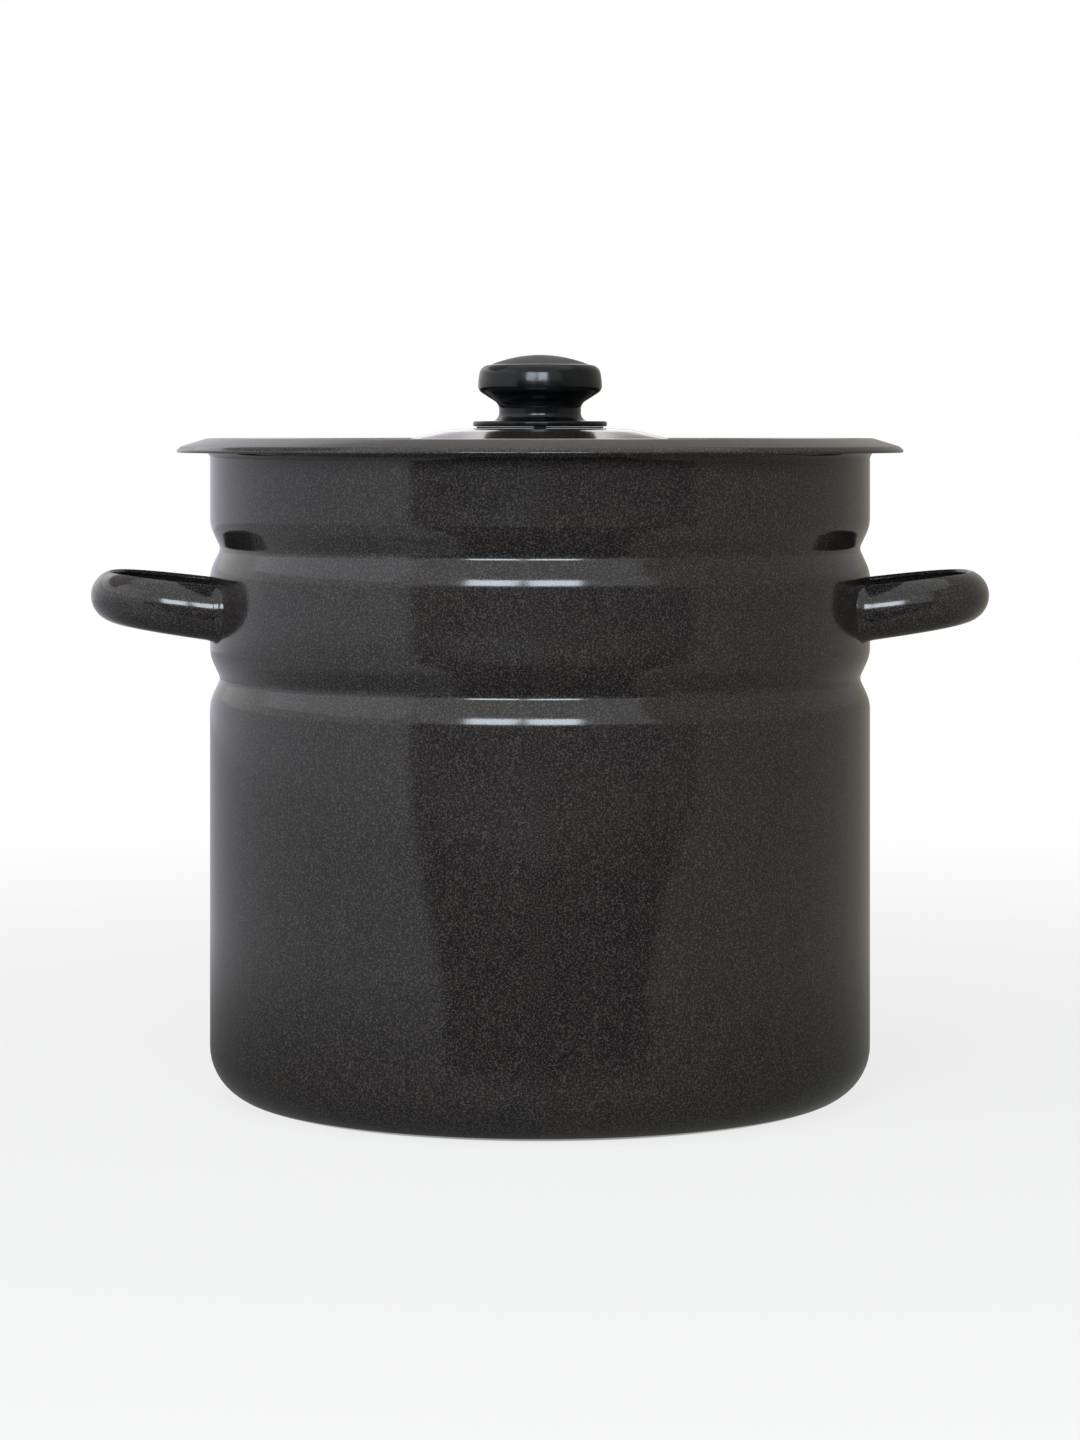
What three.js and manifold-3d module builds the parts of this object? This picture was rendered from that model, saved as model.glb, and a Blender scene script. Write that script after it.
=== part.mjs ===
// Tall enamelled steel cooking pot with two loop handles and a loose lid.
// Millimetres, +Z up, origin on the standing plane under the centre of the floor, handles along X.

import * as THREE from 'three';
import { mergeVertices } from 'three/addons/utils/BufferGeometryUtils.js';
import Module from 'manifold-3d';

// Pot body
const POT_RADIUS = 130;
const POT_HEIGHT = 255.2;
const POT_SHEET = 1.5;
const FOOT_RADIUS = 20.5;
const FLOOR_RING_WIDTH = 20;
const FLOOR_STEP_WIDTH = 9;
const FLOOR_RECESS = 1.2;
const FLOOR_BEND = 12;
const RIM_FLARE_RADIUS = 3.2;
const RIM_LAND = 4;

// Beads rolled into the wall
const LOWER_BEAD_HEIGHT = 165;
const UPPER_BEAD_HEIGHT = 216;
const BEAD_DEPTH = 3.8;
const BEAD_FLANK = THREE.MathUtils.degToRad(27);
const BEAD_VALLEY_RADIUS = 8.3;
const BEAD_SHOULDER_RADIUS = 10;

// Loop handles
const HANDLE_ROOT_HEIGHT = 192.3;
const HANDLE_REACH = 47.1;
const HANDLE_ROOT_WIDTH = 66;
const HANDLE_GRIP_WIDTH = 78;
const HANDLE_STRAP_RADIUS = 10.8;
const HANDLE_STRAP_ROLL = THREE.MathUtils.degToRad(28);
const HANDLE_SHEET = 1.5;
const HANDLE_TILT = THREE.MathUtils.degToRad(7.5);
const HANDLE_SQUARENESS = 0.74;

// Lid
const LID_SHEET = 1.3;
const FLANGE_OVERHANG = 4.35;
const FLANGE_SLOPE = THREE.MathUtils.degToRad(17);
const FLANGE_EDGE = 1.3;
const FLANGE_BEND = 2;
const CREST_BEND = 5;
const PLUG_DEPTH = 7;
const PLUG_DRAFT = THREE.MathUtils.degToRad(8);
const PLUG_BEND = 4;
const DOME_HEIGHT = 13.1;
const DOME_SLOPE = THREE.MathUtils.degToRad(14);
const DOME_SHOULDER_BEND = 50;
const DOME_FOOT_BEND = 110;
const KNOB_SEAT_RADIUS = 35;

// Knob
const KNOB_HEIGHT = 28.3;
const KNOB_CAP_RADIUS = 19.5;
const KNOB_CAP_RISE = 3.9;
const KNOB_HEAD_RADIUS = 24.2;
const KNOB_SHOULDER_BEND = 5;
const KNOB_UNDERCUT_RISE = 7.4;
const KNOB_UNDERCUT_BEND = 5.5;
const KNOB_NECK_RADIUS = 16.2;
const KNOB_NECK_LENGTH = 6.6;
const KNOB_NECK_BEND = 4.7;
const KNOB_FOOT_BEND = 2.2;
const KNOB_DISC_RADIUS = 26.5;
const KNOB_DISC_HEIGHT = 2.1;
const KNOB_DISC_BEND = 0.8;

// Fastening of the knob
const GASKET_RADIUS = 25;
const GASKET_HEIGHT = 0.6;
const SCREW_RADIUS = 2.5;
const SCREW_GRIP = 10;
const SCREW_HEAD_RADIUS = 4.75;
const SCREW_HEAD_HEIGHT = 3.2;
const SCREW_HEAD_BEND = 1.8;
const SCREW_SLOT_WIDTH = 1.3;
const SCREW_SLOT_DEPTH = 1.5;
const FLAT_WASHER_RADIUS = 7.5;
const FLAT_WASHER_HEIGHT = 1;
const SPRING_WASHER_RADIUS = 4.6;
const SPRING_WASHER_HEIGHT = 1.2;
const SPRING_WASHER_SPLIT = 1;
const INSERT_RADIUS = 4;
const INSERT_LENGTH = 12;

// Clearances
const PLUG_PLAY = 2.5;
const RIM_GAP = 0.3;
const WELD_GAP = 0.3;
const STACK_GAP = 0.1;
const SCREW_PLAY = 0.4;
const INSERT_PLAY = 0.3;

// Facets
const FACET_ANGLE = THREE.MathUtils.degToRad(22.5);
const SHELL_FACETS = 40;
const KNOB_FACETS = 28;
const FASTENER_FACETS = 24;
const STRAP_FACETS = 5;
const STRAP_STEPS = 24;
const CAP_STEPS = 5;
const SAME_POINT = 1e-6;
const END_STEPS = 3;

const POT_INNER_RADIUS = POT_RADIUS - POT_SHEET;
const LIP_RADIUS = POT_RADIUS + RIM_FLARE_RADIUS + RIM_LAND;
const FLANGE_RADIUS = LIP_RADIUS + POT_SHEET / 2 + FLANGE_OVERHANG;
const SCREW_HOLE_RADIUS = SCREW_RADIUS + SCREW_PLAY;

const wasm = await Module();
wasm.setup();

// Materials

const enamel = () => new THREE.MeshStandardMaterial({ color: 0x4a4746, roughness: 0.2, metalness: 0 });
const phenolic = () => new THREE.MeshStandardMaterial({ color: 0x17181a, roughness: 0.3, metalness: 0 });
const fibre = () => new THREE.MeshStandardMaterial({ color: 0x3a3835, roughness: 0.8, metalness: 0 });
const zincSteel = () => new THREE.MeshStandardMaterial({ color: 0xb4b7ba, roughness: 0.35, metalness: 1 });
const brass = () => new THREE.MeshStandardMaterial({ color: 0xb8964f, roughness: 0.35, metalness: 1 });

function piece(name, geometry, material, height = 0) {
  const mesh = new THREE.Mesh(geometry, material);
  mesh.name = name;
  mesh.position.z = height;
  return mesh;
}

// Profiles in the plane of radius and height

// A line through corners [radius, height, bend]. A bend becomes an arc, and two bends on one side
// share its length in proportion where it is too short for both.
function bentLine(corners) {
  const points = corners.map(([radius, height]) => new THREE.Vector2(radius, height));
  const bends = corners.map(([, , bend = 0]) => bend);
  const room = (i, j) => points[i].distanceTo(points[j]) * bends[i] / (bends[i] + bends[j]);
  const line = corners.flatMap((_, i) => {
    if (bends[i] === 0) return [points[i]];
    const back = points[i - 1].clone().sub(points[i]).normalize();
    const ahead = points[i + 1].clone().sub(points[i]).normalize();
    const turn = Math.PI - back.angleTo(ahead);
    const reach = Math.min(bends[i] * Math.tan(turn / 2), room(i, i - 1), room(i, i + 1));
    const inward = back.clone().add(ahead).normalize();
    const centre = points[i].clone().addScaledVector(inward, reach / Math.sin(turn / 2));
    const start = points[i].clone().addScaledVector(back, reach);
    const sweep = turn * Math.sign(ahead.cross(back));
    const steps = Math.ceil(turn / FACET_ANGLE);
    return Array.from({ length: steps + 1 }, (_, step) =>
      start.clone().rotateAround(centre, (sweep * step) / steps));
  });
  return line.filter((point, i) => i === 0 || point.distanceTo(line[i - 1]) > SAME_POINT);
}

// The line moved to its left by a distance, with mitred corners.
function offsetLine(line, distance) {
  const left = (from, to) => new THREE.Vector2(from.y - to.y, to.x - from.x).normalize();
  const last = line.length - 1;
  return line.map((point, i) => {
    const arriving = left(line[Math.max(i - 1, 0)], line[Math.max(i, 1)]);
    const leaving = left(line[Math.min(i, last - 1)], line[Math.min(i + 1, last)]);
    const mitre = arriving.add(leaving);
    return point.clone().addScaledVector(mitre, (2 * distance) / mitre.lengthSq());
  });
}

// Points of the half circle that rounds the free edge between two faces of a sheet.
function roundedEdge(from, to) {
  const middle = from.clone().add(to).divideScalar(2);
  return Array.from({ length: END_STEPS }, (_, step) =>
    from.clone().rotateAround(middle, (Math.PI * (step + 1)) / (END_STEPS + 1)));
}

// Closed outline of a sheet, from its lower or outer face to the face on the left of that.
function sheetOutline(line, thickness) {
  const other = offsetLine(line, thickness);
  return [...line, ...roundedEdge(line.at(-1), other.at(-1)), ...other.reverse()];
}

function revolve(outline, facets) {
  return new THREE.LatheGeometry(outline, facets).rotateX(Math.PI / 2);
}

function ringGeometry(innerRadius, outerRadius, height, facets) {
  const outline = bentLine([
    [innerRadius, 0],
    [outerRadius, 0],
    [outerRadius, height],
    [innerRadius, height],
    [innerRadius, 0],
  ]);
  return revolve(outline, facets);
}

// Cutting one closed body by another

function toSolid(geometry) {
  const bare = new THREE.BufferGeometry();
  bare.setAttribute('position', geometry.getAttribute('position'));
  bare.setIndex(geometry.index);
  const merged = mergeVertices(bare);
  const vertProperties = Float32Array.from(merged.getAttribute('position').array);
  const triVerts = Uint32Array.from(merged.index.array);
  return new wasm.Manifold(new wasm.Mesh({ numProp: 3, vertProperties, triVerts }));
}

function cut(geometry, tool) {
  const mesh = toSolid(geometry).subtract(toSolid(tool)).getMesh();
  const result = new THREE.BufferGeometry();
  result.setAttribute('position', new THREE.BufferAttribute(mesh.vertProperties, 3));
  result.setIndex(new THREE.BufferAttribute(mesh.triVerts, 1));
  return result;
}

// Pot body: recessed floor, rounded foot, beaded wall and flared rim

function beadCorners(height) {
  const sharpDepth = BEAD_DEPTH + BEAD_VALLEY_RADIUS * (1 / Math.cos(BEAD_FLANK) - 1);
  const halfHeight = sharpDepth / Math.tan(BEAD_FLANK);
  return [
    [POT_RADIUS, height - halfHeight, BEAD_SHOULDER_RADIUS],
    [POT_RADIUS - sharpDepth, height, BEAD_VALLEY_RADIUS],
    [POT_RADIUS, height + halfHeight, BEAD_SHOULDER_RADIUS],
  ];
}

function potBodyGeometry() {
  const ringInside = POT_RADIUS - FOOT_RADIUS - FLOOR_RING_WIDTH;
  const lipUnderside = POT_HEIGHT - POT_SHEET;
  const outside = bentLine([
    [0, FLOOR_RECESS],
    [ringInside - FLOOR_STEP_WIDTH, FLOOR_RECESS, FLOOR_BEND],
    [ringInside, 0, FLOOR_BEND],
    [POT_RADIUS, 0, FOOT_RADIUS],
    ...beadCorners(LOWER_BEAD_HEIGHT),
    ...beadCorners(UPPER_BEAD_HEIGHT),
    [POT_RADIUS, lipUnderside, RIM_FLARE_RADIUS],
    [LIP_RADIUS, lipUnderside],
  ]);
  return revolve(sheetOutline(outside, POT_SHEET), SHELL_FACETS);
}

// Handle: a half-round channel of sheet, rolled so that it opens inwards and up, bent to a loop and tilted

function strapSection() {
  const start = Math.PI + HANDLE_STRAP_ROLL;
  const end = start + Math.PI;
  const section = new THREE.Shape();
  section.absarc(0, 0, HANDLE_STRAP_RADIUS, start, end, false);
  section.absarc(0, 0, HANDLE_STRAP_RADIUS - HANDLE_SHEET, end, start, true);
  section.closePath();
  return section;
}

// Plan of the loop along the middle of the channel's open side, measured from the wall outwards.
function loopPath() {
  const rootHalf = HANDLE_ROOT_WIDTH / 2;
  const half = HANDLE_GRIP_WIDTH / 2;
  const end = HANDLE_REACH - HANDLE_STRAP_RADIUS;
  const wallBehind = POT_RADIUS - Math.sqrt(POT_RADIUS ** 2 - (rootHalf + HANDLE_STRAP_RADIUS) ** 2);
  const root = -wallBehind - 2 * HANDLE_STRAP_RADIUS * Math.sin(HANDLE_TILT);
  const shoulder = root + (end - root) * HANDLE_SQUARENESS;
  const corner = half * HANDLE_SQUARENESS;
  const at = (x, y) => new THREE.Vector3(x, y, 0);
  const path = new THREE.CurvePath();
  const front = [at(root, -rootHalf), at(shoulder, -half), at(end, -corner), at(end, 0)];
  const back = [at(end, 0), at(end, corner), at(shoulder, half), at(root, rootHalf)];
  path.add(new THREE.CubicBezierCurve3(...front));
  path.add(new THREE.CubicBezierCurve3(...back));
  return path;
}

function handleGeometry() {
  const strap = new THREE.ExtrudeGeometry(strapSection(), {
    extrudePath: loopPath(),
    steps: STRAP_STEPS,
    curveSegments: STRAP_FACETS,
  });
  strap.rotateY(-HANDLE_TILT).translate(POT_RADIUS, 0, HANDLE_ROOT_HEIGHT);
  const wall = new THREE.CylinderGeometry(
    POT_RADIUS + WELD_GAP, POT_RADIUS + WELD_GAP, 2 * POT_HEIGHT, SHELL_FACETS).rotateX(Math.PI / 2);
  return cut(strap, wall);
}

// Lid: flat knob seat, dome, locating channel, crest and overhanging flange, drawn along its top face

// Where the lid's top face runs above the rim, so that its underside rests on the rounded lip.
function flangeHeightAt(radius) {
  const lipCentre = POT_HEIGHT - POT_SHEET / 2;
  const stand = POT_SHEET / 2 + RIM_GAP + LID_SHEET;
  return lipCentre + stand / Math.cos(FLANGE_SLOPE) - (radius - LIP_RADIUS) * Math.tan(FLANGE_SLOPE);
}

const CHANNEL_TOP = POT_HEIGHT - PLUG_DEPTH + LID_SHEET;
const SEAT_TOP = CHANNEL_TOP + DOME_HEIGHT;

function lidGeometry() {
  const domeFoot = KNOB_SEAT_RADIUS + DOME_HEIGHT / Math.tan(DOME_SLOPE);
  const plugFoot = POT_INNER_RADIUS - PLUG_PLAY - LID_SHEET;
  const plugRise = (flangeHeightAt(plugFoot) - CHANNEL_TOP)
    / (1 + Math.tan(PLUG_DRAFT) * Math.tan(FLANGE_SLOPE));
  const crest = plugFoot + plugRise * Math.tan(PLUG_DRAFT);
  const bendRadius = FLANGE_RADIUS - FLANGE_EDGE;
  const topFace = bentLine([
    [SCREW_HOLE_RADIUS, SEAT_TOP],
    [KNOB_SEAT_RADIUS, SEAT_TOP, DOME_SHOULDER_BEND],
    [domeFoot, CHANNEL_TOP, DOME_FOOT_BEND],
    [plugFoot, CHANNEL_TOP, PLUG_BEND],
    [crest, CHANNEL_TOP + plugRise, CREST_BEND],
    [bendRadius, flangeHeightAt(bendRadius), FLANGE_BEND],
    [FLANGE_RADIUS, flangeHeightAt(bendRadius) - FLANGE_EDGE],
  ]);
  const underside = offsetLine(topFace, -LID_SHEET);
  const outline = sheetOutline(underside, LID_SHEET);
  return revolve([...outline, outline[0]], SHELL_FACETS);
}

// Knob: shallow cap, rounded head, waisted neck and finger guard in one moulding, hollow for its insert

function knobGeometry() {
  const capEdge = KNOB_HEIGHT - KNOB_CAP_RISE;
  const neckTop = KNOB_DISC_HEIGHT + KNOB_NECK_LENGTH;
  const side = bentLine([
    [INSERT_RADIUS + INSERT_PLAY, 0],
    [KNOB_DISC_RADIUS, 0, KNOB_DISC_BEND],
    [KNOB_DISC_RADIUS, KNOB_DISC_HEIGHT, KNOB_DISC_BEND],
    [KNOB_NECK_RADIUS, KNOB_DISC_HEIGHT, KNOB_FOOT_BEND],
    [KNOB_NECK_RADIUS, neckTop, KNOB_NECK_BEND],
    [KNOB_HEAD_RADIUS, neckTop + KNOB_UNDERCUT_RISE, KNOB_UNDERCUT_BEND],
    [KNOB_HEAD_RADIUS, capEdge, KNOB_SHOULDER_BEND],
    [KNOB_CAP_RADIUS, capEdge],
  ]);
  const cap = Array.from({ length: CAP_STEPS }, (_, step) => {
    const radius = KNOB_CAP_RADIUS * (1 - (step + 1) / CAP_STEPS);
    return new THREE.Vector2(radius, KNOB_HEIGHT - KNOB_CAP_RISE * (radius / KNOB_CAP_RADIUS) ** 2);
  });
  const pocket = bentLine([
    [0, INSERT_LENGTH + INSERT_PLAY],
    [INSERT_RADIUS + INSERT_PLAY, INSERT_LENGTH + INSERT_PLAY],
    [INSERT_RADIUS + INSERT_PLAY, 0],
  ]);
  return revolve([...pocket, ...side.slice(1), ...cap], KNOB_FACETS);
}

// Screw: slotted pan head below, shank up through the washers and the lid into the insert

function screwGeometry(shankLength) {
  const outline = bentLine([
    [0, -SCREW_HEAD_HEIGHT],
    [SCREW_HEAD_RADIUS, -SCREW_HEAD_HEIGHT, SCREW_HEAD_BEND],
    [SCREW_HEAD_RADIUS, 0],
    [SCREW_RADIUS, 0],
    [SCREW_RADIUS, shankLength],
    [0, shankLength],
  ]);
  const slot = new THREE.BoxGeometry(4 * SCREW_HEAD_RADIUS, SCREW_SLOT_WIDTH, 2 * SCREW_SLOT_DEPTH);
  slot.translate(0, 0, -SCREW_HEAD_HEIGHT);
  return cut(revolve(outline, FASTENER_FACETS), slot);
}

function springWasherGeometry() {
  const ring = ringGeometry(SCREW_HOLE_RADIUS, SPRING_WASHER_RADIUS, SPRING_WASHER_HEIGHT, FASTENER_FACETS);
  const reach = 2 * SPRING_WASHER_RADIUS;
  const split = new THREE.BoxGeometry(reach, SPRING_WASHER_SPLIT, 3 * SPRING_WASHER_HEIGHT);
  split.translate(reach / 2, 0, 0);
  return cut(ring, split);
}

// Assembly

const pot = new THREE.Group();
pot.add(piece('pot_body', potBodyGeometry(), enamel()));
const leftHandle = piece('left_handle', handleGeometry(), enamel());
leftHandle.rotation.z = Math.PI;
pot.add(leftHandle);
pot.add(piece('right_handle', handleGeometry(), enamel()));

const gasketFoot = SEAT_TOP + STACK_GAP;
const knobFoot = gasketFoot + GASKET_HEIGHT + STACK_GAP;
const flatWasherFoot = SEAT_TOP - LID_SHEET - STACK_GAP - FLAT_WASHER_HEIGHT;
const springWasherFoot = flatWasherFoot - STACK_GAP - SPRING_WASHER_HEIGHT;
const screwSeat = springWasherFoot - STACK_GAP;
const shankLength = knobFoot + SCREW_GRIP - screwSeat;

const lid = new THREE.Group();
lid.add(piece('lid', lidGeometry(), enamel()));
lid.add(piece('knob_gasket',
  ringGeometry(SCREW_HOLE_RADIUS, GASKET_RADIUS, GASKET_HEIGHT, KNOB_FACETS), fibre(), gasketFoot));
lid.add(piece('knob', knobGeometry(), phenolic(), knobFoot));
lid.add(piece('knob_insert',
  ringGeometry(SCREW_HOLE_RADIUS, INSERT_RADIUS, INSERT_LENGTH, FASTENER_FACETS), brass(), knobFoot));
lid.add(piece('flat_washer',
  ringGeometry(SCREW_HOLE_RADIUS, FLAT_WASHER_RADIUS, FLAT_WASHER_HEIGHT, FASTENER_FACETS), zincSteel(),
  flatWasherFoot));
lid.add(piece('spring_washer', springWasherGeometry(), zincSteel(), springWasherFoot));
lid.add(piece('knob_screw', screwGeometry(shankLength), zincSteel(), screwSeat));

const cookingPot = new THREE.Group();
cookingPot.add(pot, lid);

export default cookingPot;
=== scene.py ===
# %% [markdown]
# # An enamelled cooking pot
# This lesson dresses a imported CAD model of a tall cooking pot. The pot is a drawn steel shell with
# two beads, two welded loop handles and a loose lid with a black knob, all but the knob coated in
# dark glassy enamel. Every piece is modelled again here, smoother than the CAD solids and in the
# same frame, and rides on the CAD body that it belongs to.

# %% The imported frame
import math

import bmesh
import bpy
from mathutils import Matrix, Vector


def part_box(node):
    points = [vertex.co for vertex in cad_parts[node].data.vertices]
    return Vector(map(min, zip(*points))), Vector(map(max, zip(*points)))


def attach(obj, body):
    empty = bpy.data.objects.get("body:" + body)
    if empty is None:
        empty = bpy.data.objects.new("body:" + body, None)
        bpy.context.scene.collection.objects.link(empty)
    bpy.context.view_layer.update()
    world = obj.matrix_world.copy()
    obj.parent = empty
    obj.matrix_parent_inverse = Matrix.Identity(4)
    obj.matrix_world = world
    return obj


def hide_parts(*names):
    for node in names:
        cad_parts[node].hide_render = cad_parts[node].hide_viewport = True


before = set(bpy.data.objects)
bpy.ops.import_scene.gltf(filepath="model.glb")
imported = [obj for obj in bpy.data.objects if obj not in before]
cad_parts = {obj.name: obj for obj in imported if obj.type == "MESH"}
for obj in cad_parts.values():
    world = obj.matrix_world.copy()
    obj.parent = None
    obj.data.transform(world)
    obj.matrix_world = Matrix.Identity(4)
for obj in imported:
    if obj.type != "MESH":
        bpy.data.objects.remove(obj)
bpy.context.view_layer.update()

MM = 0.001

# %% [markdown]
# ## The camera
# The photograph was taken from lid height with a long lens held level, so upright lines stay
# upright. A level camera with a vertical shift gives the same picture; tilting it down would make
# the sides of the pot converge.

# %% Camera
CAMERA_DISTANCE = 1.636
CAMERA_HEIGHT = 0.262
LENS = 103.5
PHOTO_HEIGHT = 1440
HORIZON_ROW = 430
CAMERA_SHIFT = (HORIZON_ROW - PHOTO_HEIGHT / 2) / PHOTO_HEIGHT

bpy.ops.object.camera_add(
    location=(0, -CAMERA_DISTANCE, CAMERA_HEIGHT), rotation=(math.radians(90), 0, 0))
camera = bpy.context.object
camera.name = "photo_camera"
camera.data.lens = LENS
camera.data.shift_y = CAMERA_SHIFT
bpy.context.scene.camera = camera
print("camera", CAMERA_DISTANCE, "m in front, shift", round(CAMERA_SHIFT, 4))

# %% [markdown]
# ## Lines that become sheet metal
# The shell, the lid and the knob are all round, as pressed and spun metal is. Each starts as a line
# in the XZ plane, drawn from corner to corner. The corners are rounded with a vertex bevel, whose
# offset is how far the bend reaches along the line, and the line is spun about the Z axis. A Screw
# modifier would do as well, but spinning in edit mode leaves a plain mesh whose seam can be merged at
# once.

# %% Drawing a line
SEED_SIZE = 1 * MM
NEAR = 0.001 * MM
BEND_STEP = math.radians(7)
ROUND_PROFILE = 0.5


def start_piece(name):
    """A piece in edit mode that is only one selected vertex at the origin."""
    bpy.ops.object.select_all(action="DESELECT")
    bpy.ops.mesh.primitive_plane_add(size=SEED_SIZE)
    piece = bpy.context.object
    piece.name = name
    piece.data.name = name
    bpy.ops.object.mode_set(mode="EDIT")
    bpy.ops.mesh.select_all(action="SELECT")
    bpy.ops.mesh.merge(type="CENTER")
    return piece


def extrude_through(places):
    """Moves the selected vertex to the first place and extrudes it through the others."""
    bpy.ops.transform.translate(value=places[0])
    for start, end in zip(places, places[1:]):
        bpy.ops.mesh.extrude_region_move(TRANSFORM_OT_translate={"value": end - start})


def select_place(piece, place):
    """Selects the vertex that lies at this place."""
    mesh = bmesh.from_edit_mesh(piece.data)
    for vert in mesh.verts:
        vert.select_set((vert.co - place).length < NEAR)
    mesh.select_flush_mode()
    bmesh.update_edit_mesh(piece.data)


def draw_line(name, corners):
    """A line through corners (radius, height, bend radius). A sharp corner has no bend radius."""
    piece = start_piece(name)
    places = [Vector((radius, 0, height)) for radius, height, *_ in corners]
    bends = [corner[2] if len(corner) > 2 else 0 for corner in corners]
    extrude_through(places)
    for before, place, after, bend in zip(places, places[1:], places[2:], bends[1:]):
        if bend:
            turn = (place - before).angle(after - place)
            select_place(piece, place)
            bpy.ops.mesh.bevel(
                affect="VERTICES", offset=bend * math.tan(turn / 2), profile=ROUND_PROFILE,
                segments=max(2, math.ceil(turn / BEND_STEP)))
    return piece


# %% Spinning it and giving it thickness
SPIN_STEPS = 192
FULL_TURN = 2 * math.pi
EDGE_ANGLE = math.radians(55)
EDGE_SEGMENTS = 3
CUT_EDGE_SHARE = 0.45
SMOOTH_ANGLE = math.radians(40)


def face_away(piece):
    """Merges a sheet's seam and turns its faces so that they look away from the origin."""
    bpy.ops.mesh.select_all(action="SELECT")
    bpy.ops.mesh.remove_doubles(threshold=NEAR)
    bpy.ops.mesh.normals_make_consistent(inside=False)
    mesh = bmesh.from_edit_mesh(piece.data)
    facing = sum(face.calc_center_median().dot(face.normal) * face.calc_area() for face in mesh.faces)
    if facing < 0:
        bpy.ops.mesh.flip_normals()


def spin_line(piece, steps=SPIN_STEPS):
    """Turns a drawn line about the Z axis into a round piece."""
    bpy.ops.mesh.select_all(action="SELECT")
    bpy.ops.mesh.spin(steps=steps, angle=FULL_TURN, center=(0, 0, 0), axis=(0, 0, 1))
    face_away(piece)


def apply_modifier(piece, kind, **settings):
    """Adds one modifier to a piece in object mode and applies it."""
    bpy.context.view_layer.objects.active = piece
    modifier = piece.modifiers.new(kind.lower(), kind)
    for name, value in settings.items():
        setattr(modifier, name, value)
    bpy.ops.object.modifier_apply(modifier=modifier.name)


def round_edges(piece, radius):
    """Rounds every sharp edge of a finished solid."""
    apply_modifier(
        piece, "BEVEL", width=radius, segments=EDGE_SEGMENTS, limit_method="ANGLE",
        angle_limit=EDGE_ANGLE)


def thicken(piece, sheet):
    """Gives a surface the thickness of its sheet, behind its faces, and rounds the cut edges."""
    apply_modifier(piece, "SOLIDIFY", thickness=sheet, offset=-1, use_even_offset=True)
    round_edges(piece, sheet * CUT_EDGE_SHARE)


def finish_piece(piece, body, node):
    """Smooths a finished piece and ties it to the CAD body and node that it stands for."""
    bpy.ops.object.select_all(action="DESELECT")
    piece.select_set(True)
    bpy.context.view_layer.objects.active = piece
    bpy.ops.object.shade_smooth_by_angle(angle=SMOOTH_ANGLE)
    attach(piece, body)
    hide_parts(node)
    size = [round(side / MM, 1) for side in piece.dimensions]
    print(piece.name, "stands for", node, size, "mm,", len(piece.data.polygons), "faces")


# %% [markdown]
# ## Pot body
# The real shell is drawn from one steel disc, beaded between rollers and flared at the rim so that
# the lid can rest on it. Its line runs along the outside, from the recessed floor over the standing
# ring and the foot, up the wall with its two beads, and out along the lip. The wall thickness goes
# inwards, so the outside keeps its size.

# %% Pot body
POT_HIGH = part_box("pot_body")[1]
SHEET = 1.5 * MM
WALL_RADIUS = 130 * MM
FOOT_RADIUS = 20.5 * MM
FLOOR_RECESS = 1.2 * MM
FLOOR_BEND = 12 * MM
FLOOR_RADIUS = 80.5 * MM
RING_INSIDE = 89.5 * MM
RIM_FLARE = 3.2 * MM
LIP_RADIUS = POT_HIGH.x - SHEET / 2
LIP_UNDERSIDE = POT_HIGH.z - SHEET

LOWER_BEAD = 164.6 * MM
UPPER_BEAD = 215.5 * MM
BEAD_DEPTH = 3.8 * MM
BEAD_FLANK = math.radians(25)
BEAD_VALLEY = 3.5 * MM
BEAD_SHOULDER = 12.5 * MM


def bead_corners(height):
    """Corners of a shallow groove rolled into the wall at this height."""
    depth = BEAD_DEPTH + BEAD_VALLEY * (1 / math.cos(BEAD_FLANK) - 1)
    half_height = depth / math.tan(BEAD_FLANK)
    return [
        (WALL_RADIUS, height - half_height, BEAD_SHOULDER),
        (WALL_RADIUS - depth, height, BEAD_VALLEY),
        (WALL_RADIUS, height + half_height, BEAD_SHOULDER),
    ]


body = draw_line("drawn_body", [
    (0, FLOOR_RECESS),
    (FLOOR_RADIUS, FLOOR_RECESS, FLOOR_BEND),
    (RING_INSIDE, 0, FLOOR_BEND),
    (WALL_RADIUS, 0, FOOT_RADIUS),
    *bead_corners(LOWER_BEAD),
    *bead_corners(UPPER_BEAD),
    (WALL_RADIUS, LIP_UNDERSIDE, RIM_FLARE),
    (LIP_RADIUS, LIP_UNDERSIDE),
])
spin_line(body)
bpy.ops.object.mode_set(mode="OBJECT")
thicken(body, SHEET)
finish_piece(body, "pot", "pot_body")

# %% [markdown]
# ## Loop handles
# Each handle is a strip of steel pressed to a half-round channel, bent to a loop and welded to the
# wall before enamelling. The channel is rolled, so that its open side faces inwards and up and the
# fingers lift on its round back. One half of the loop is swept: a half circle is extruded step by step
# along a curve, turned with it and made a little smaller towards the end of the loop. A mirror makes the
# other half, so both legs are alike. Close to the wall the enamel fills the weld, so the strip widens
# there like the foot of a trumpet.

# %% Path of the loop
ROOT_HEIGHT = 192.3 * MM
HANDLE_REACH = 47.1 * MM
ROOT_HALF_WIDTH = 33 * MM
GRIP_HALF_WIDTH = 39 * MM
END_STRAP_RADIUS = 10 * MM
LOOP_SQUARENESS = 0.74
ROOT_BURIED = 12 * MM

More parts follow.
